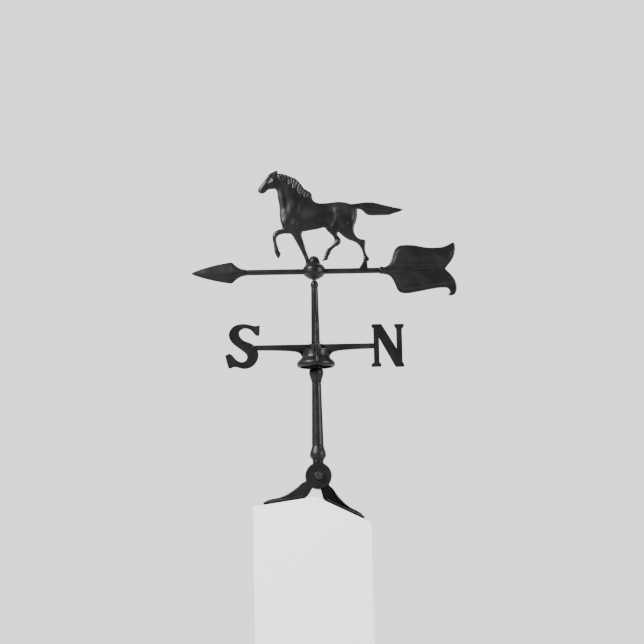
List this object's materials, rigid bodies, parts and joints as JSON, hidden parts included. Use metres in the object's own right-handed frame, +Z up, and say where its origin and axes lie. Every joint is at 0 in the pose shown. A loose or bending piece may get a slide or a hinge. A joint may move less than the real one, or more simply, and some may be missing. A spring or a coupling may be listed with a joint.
{
  "type": "weather vane",
  "caption": "Roof weather vane: a trotting horse on a feathered arrow turns on a ball above a compass cross, mast and hinged two-legged ridge mount.",
  "frame": {"origin": "on the mast's axis, level with the lowest edge of the lower foot", "axes": "+Z up along the mast, +X along the arrow towards its tail and along the north arm towards the N, -Y towards the E"},
  "size_m": [0.6099, 0.408, 0.8133],
  "materials": {
    "cast_black": "satin",
    "steel": "satin",
    "nylon": "matte"
  },
  "bodies": {
    "mast": {"spindle_rod": "steel", "bearing_ball": "steel", "top_ferrule": "cast_black", "ferrule_screw": "steel", "upper_post": "cast_black", "post_collar": "cast_black", "collar_screw": "steel", "lower_post": "cast_black", "foot_bead": "cast_black", "mount_socket": "cast_black", "socket_screw": "steel", "pivot_bolt": "steel", "front_washer": "steel", "back_washer": "steel", "pivot_nut": "steel"},
    "vane": {"horse_figure": "cast_black", "arrow_hub": "cast_black", "front_shaft": "cast_black", "arrow_point": "cast_black", "rear_shaft": "cast_black", "arrow_tail": "cast_black", "rear_saddle": "cast_black", "point_pin": "steel", "tail_pin": "steel", "front_foot_pin": "steel", "rear_foot_pin": "steel", "saddle_screw": "steel", "hub_screw_front": "steel", "hub_screw_rear": "steel", "hub_bush": "nylon"},
    "compass": {"ns_directional": "cast_black", "ew_directional": "cast_black", "directional_bell": "cast_black", "arm_screw_n": "steel", "arm_screw_s": "steel", "arm_screw_e": "steel", "arm_screw_w": "steel", "compass_screw_front": "steel", "compass_screw_back": "steel"},
    "left_leg": {"left_leg": "cast_black"},
    "right_leg": {"right_leg": "cast_black"}
  },
  "joints": [
    {"name": "vane_spin", "type": "hinge", "parent": "mast", "child": "vane", "pos_m": [0, 0, 0.57376], "axis": [0, 0, 1], "continuous": true},
    {"name": "compass_swivel", "type": "hinge", "parent": "mast", "child": "compass", "pos_m": [0, 0, 0.39897], "axis": [0, 0, 1], "continuous": true},
    {"name": "left_leg_pitch", "type": "hinge", "parent": "mast", "child": "left_leg", "pos_m": [0, 0, 0.10117], "axis": [0, -1, 0], "range_deg": [-8, 30]},
    {"name": "right_leg_pitch", "type": "hinge", "parent": "mast", "child": "right_leg", "pos_m": [0, 0, 0.10117], "axis": [0, 1, 0], "range_deg": [-26, 12]}
  ]
}
